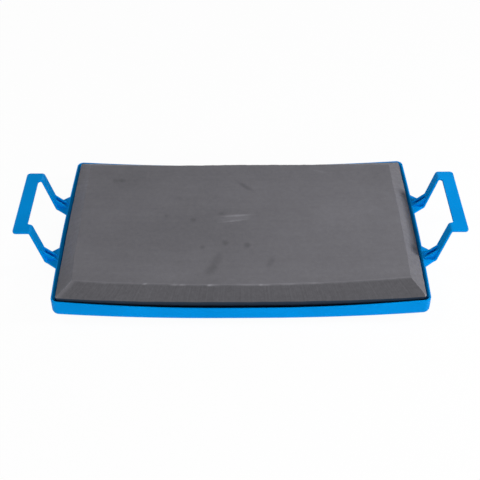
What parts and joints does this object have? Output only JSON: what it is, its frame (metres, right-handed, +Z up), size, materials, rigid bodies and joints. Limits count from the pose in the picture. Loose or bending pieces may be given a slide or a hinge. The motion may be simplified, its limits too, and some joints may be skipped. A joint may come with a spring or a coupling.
{
  "type": "kneeling board",
  "caption": "Shallow moulded tray with a rockered sliding base, raised strap handles at its short ends and a bevelled foam kneeling pad bonded inside the rim.",
  "frame": {"origin": "Middle of the flat that the board rests on, which is the bottom centre of its box.", "axes": "+X along the board from handle to handle, +Y across it, +Z up."},
  "size_m": [0.6056, 0.319, 0.0778],
  "materials": {
    "blue_plastic": "satin injection-moulded polypropylene",
    "grey_foam": "matt closed-cell EVA foam, knife-cut bevels",
    "adhesive": "pressure-sensitive transfer film"
  },
  "bodies": {
    "root": {"board": "blue_plastic", "kneeling_pad": "grey_foam", "adhesive_film": "adhesive"}
  },
  "joints": []
}
